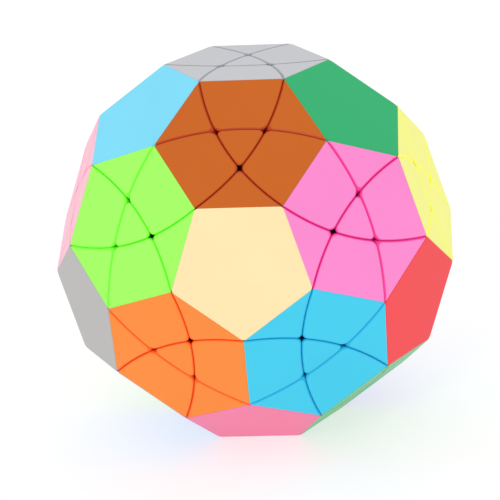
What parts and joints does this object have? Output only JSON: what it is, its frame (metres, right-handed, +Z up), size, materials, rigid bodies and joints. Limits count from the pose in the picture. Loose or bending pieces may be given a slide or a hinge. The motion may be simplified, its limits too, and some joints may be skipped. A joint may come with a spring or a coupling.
{
  "type": "face-turning twisty puzzle",
  "caption": "Ball-like puzzle of pentagon and hexagon faces whose pentagon layers turn on a hidden core to mix and restore the coloured tiles.",
  "frame": {"origin": "middle of the bottom hexagon, on the surface the puzzle rests on", "axes": "+Z up through the middles of the bottom and top hexagons; -Y towards the cream pentagon at the front; +X to the right as seen from the front"},
  "size_m": [0.0874, 0.088, 0.0816],
  "materials": {
    "pentagon_light_blue": "glossy moulded ABS",
    "pentagon_green": "glossy moulded ABS",
    "pentagon_purple": "glossy moulded ABS",
    "pentagon_cream": "glossy moulded ABS",
    "pentagon_white": "glossy moulded ABS",
    "pentagon_orange": "glossy moulded ABS",
    "pentagon_blue": "glossy moulded ABS",
    "pentagon_light_green": "glossy moulded ABS",
    "pentagon_pink": "glossy moulded ABS",
    "pentagon_yellow": "glossy moulded ABS",
    "pentagon_grey": "glossy moulded ABS",
    "pentagon_red": "glossy moulded ABS",
    "hexagon_silver": "glossy moulded ABS",
    "hexagon_brown": "glossy moulded ABS",
    "hexagon_turquoise": "glossy moulded ABS",
    "hexagon_lime": "glossy moulded ABS",
    "hexagon_rose": "glossy moulded ABS",
    "hexagon_peach": "glossy moulded ABS",
    "hexagon_orchid": "glossy moulded ABS",
    "hexagon_lemon": "glossy moulded ABS",
    "hexagon_maroon": "glossy moulded ABS",
    "hexagon_navy": "glossy moulded ABS",
    "hexagon_tangerine": "glossy moulded ABS",
    "hexagon_sky": "glossy moulded ABS",
    "hexagon_violet": "glossy moulded ABS",
    "hexagon_mint": "glossy moulded ABS",
    "hexagon_gold": "glossy moulded ABS",
    "hexagon_ivory": "glossy moulded ABS",
    "hexagon_charcoal": "glossy moulded ABS",
    "hexagon_olive": "glossy moulded ABS",
    "hexagon_emerald": "glossy moulded ABS",
    "hexagon_azure": "glossy moulded ABS",
    "core_black": "matt moulded nylon",
    "screw_steel": "zinc plated",
    "spring_steel": "drawn wire",
    "washer_steel": "zinc plated"
  },
  "bodies": {
    "core_body": {"centre_light_blue": "pentagon_light_blue", "centre_green": "pentagon_green", "centre_purple": "pentagon_purple", "centre_blue": "pentagon_blue", "centre_light_green": "pentagon_light_green", "centre_pink": "pentagon_pink", "centre_yellow": "pentagon_yellow", "centre_grey": "pentagon_grey", "centre_red": "pentagon_red", "edge_silver_brown": "hexagon_silver", "edge_silver_turquoise": "hexagon_turquoise", "edge_lime_rose": "hexagon_lime", "edge_silver_peach": "hexagon_peach", "edge_orchid_lemon": "hexagon_orchid", "edge_maroon_navy": "hexagon_maroon", "edge_charcoal_olive": "hexagon_charcoal", "edge_charcoal_emerald": "hexagon_emerald", "edge_violet_olive": "hexagon_olive", "edge_mint_emerald": "hexagon_mint", "edge_charcoal_azure": "hexagon_azure", "edge_gold_olive": "hexagon_gold", "edge_ivory_azure": "hexagon_ivory", "edge_tangerine_azure": "hexagon_tangerine", "edge_sky_emerald": "hexagon_sky", "corners_fixed": "hexagon_silver", "core": "core_black", "screws": "screw_steel", "springs": "spring_steel", "washers": "washer_steel"},
    "front_layer": {"centre_cream": "pentagon_cream", "edge_brown_lime": "hexagon_brown", "edge_brown_orchid": "hexagon_orchid", "edge_tangerine_sky": "hexagon_sky", "edge_lime_tangerine": "hexagon_tangerine", "edge_orchid_sky": "hexagon_orchid", "corners_front": "hexagon_lime"},
    "right_layer": {"centre_white": "pentagon_white", "edge_peach_lemon": "hexagon_lemon", "edge_peach_maroon": "hexagon_maroon", "edge_violet_mint": "hexagon_mint", "edge_maroon_violet": "hexagon_violet", "edge_lemon_mint": "hexagon_lemon", "corners_right": "hexagon_lemon"},
    "left_layer": {"centre_orange": "pentagon_orange", "edge_turquoise_rose": "hexagon_rose", "edge_turquoise_navy": "hexagon_navy", "edge_gold_ivory": "hexagon_ivory", "edge_navy_gold": "hexagon_gold", "edge_rose_ivory": "hexagon_rose", "corners_left": "hexagon_rose"}
  },
  "joints": [
    {"name": "front_layer_turn", "type": "hinge", "parent": "core_body", "child": "front_layer", "pos_m": [0, 0, 0.04081], "axis": [0, -0.9822, 0.1876], "continuous": true},
    {"name": "right_layer_turn", "type": "hinge", "parent": "core_body", "child": "right_layer", "pos_m": [0, 0, 0.04081], "axis": [0.8507, 0.4911, 0.1876], "continuous": true},
    {"name": "left_layer_turn", "type": "hinge", "parent": "core_body", "child": "left_layer", "pos_m": [0, 0, 0.04081], "axis": [-0.8507, 0.4911, 0.1876], "continuous": true}
  ]
}
